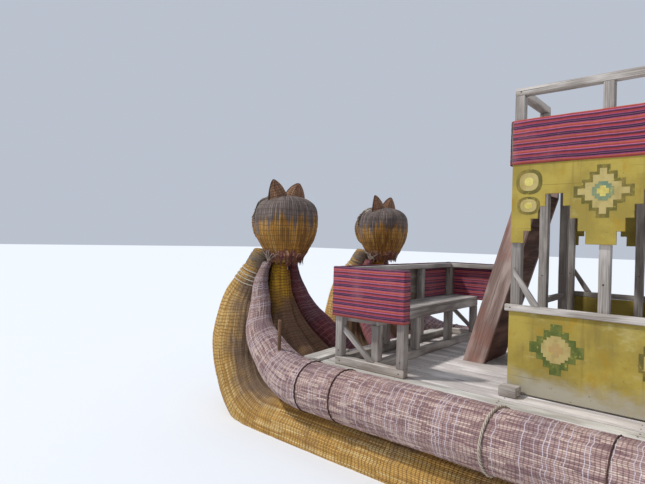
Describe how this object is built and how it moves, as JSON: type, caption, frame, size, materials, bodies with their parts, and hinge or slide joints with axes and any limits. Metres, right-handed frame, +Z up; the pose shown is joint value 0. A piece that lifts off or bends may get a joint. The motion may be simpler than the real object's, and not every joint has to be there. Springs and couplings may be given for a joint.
{
  "type": "twin-hulled reed passenger boat",
  "caption": "Reed catamaran with cat-head prows, a plank deck, a bow bench, a stair and a two-storey passenger cabin with stepped yellow valances.",
  "frame": {"origin": "midway along the boat and across it, on the keel line where the hulls touch the ground", "axes": "+X to the bow, +Y to port, +Z up"},
  "size_m": [9.3821, 3.4388, 3.4264],
  "materials": {
    "golden_reed": "dry reed, matt",
    "mauve_reed": "weathered reed bound with fine line, matt",
    "head_reed": "dry reed, grey on top",
    "ear_reed": "woven reed, grey-brown",
    "painted_plywood": "mottled yellow paint on plywood",
    "striped_cloth": "woven stripes",
    "stained_wood": "dark red-brown stain",
    "bare_plywood": "bare grey plywood",
    "deck_wood": "sun-bleached boards",
    "stake_wood": "bare stick",
    "weathered_wood": "grey weathered timber"
  },
  "bodies": {
    "root": {"band_aft": "striped_cloth", "band_front": "striped_cloth", "band_port": "striped_cloth", "band_starboard": "striped_cloth", "bearers": "weathered_wood", "bench_back_panels": "bare_plywood", "bench_base_beams": "weathered_wood", "bench_braces": "weathered_wood", "bench_cloth_front": "striped_cloth", "bench_cloth_port": "striped_cloth", "bench_cloth_starboard": "striped_cloth", "bench_posts": "weathered_wood", "bench_rails": "weathered_wood", "bench_seat_boards": "weathered_wood", "bench_seat_frame": "weathered_wood", "cabin_posts": "weathered_wood", "crossbeams": "weathered_wood", "deck_boards": "deck_wood", "edge_planks": "deck_wood", "gate_rails": "weathered_wood", "guard_rails": "weathered_wood", "knee_braces": "weathered_wood", "loose_plank": "deck_wood", "mooring_stake": "stake_wood", "parapet_ends": "bare_plywood", "parapet_sides": "bare_plywood", "port_ears": "ear_reed", "port_gunwale_roll_inner": "mauve_reed", "port_gunwale_roll_outer": "mauve_reed", "port_head": "head_reed", "port_heart_bundle": "golden_reed", "port_main_bundle_inner": "golden_reed", "port_main_bundle_outer": "golden_reed", "rail_posts": "weathered_wood", "side_seat_legs": "weathered_wood", "side_seats": "weathered_wood", "stair_risers": "stained_wood", "stair_stringers": "weathered_wood", "stair_treads": "stained_wood", "starboard_ears": "ear_reed", "starboard_gunwale_roll_inner": "mauve_reed", "starboard_gunwale_roll_outer": "mauve_reed", "starboard_head": "head_reed", "starboard_heart_bundle": "golden_reed", "starboard_main_bundle_inner": "golden_reed", "starboard_main_bundle_outer": "golden_reed", "upper_floor": "deck_wood", "upper_joists": "weathered_wood", "valance_port": "painted_plywood", "valance_starboard": "painted_plywood", "waist_panels": "painted_plywood", "waist_rails": "weathered_wood", "wood_block": "weathered_wood"}
  },
  "joints": []
}
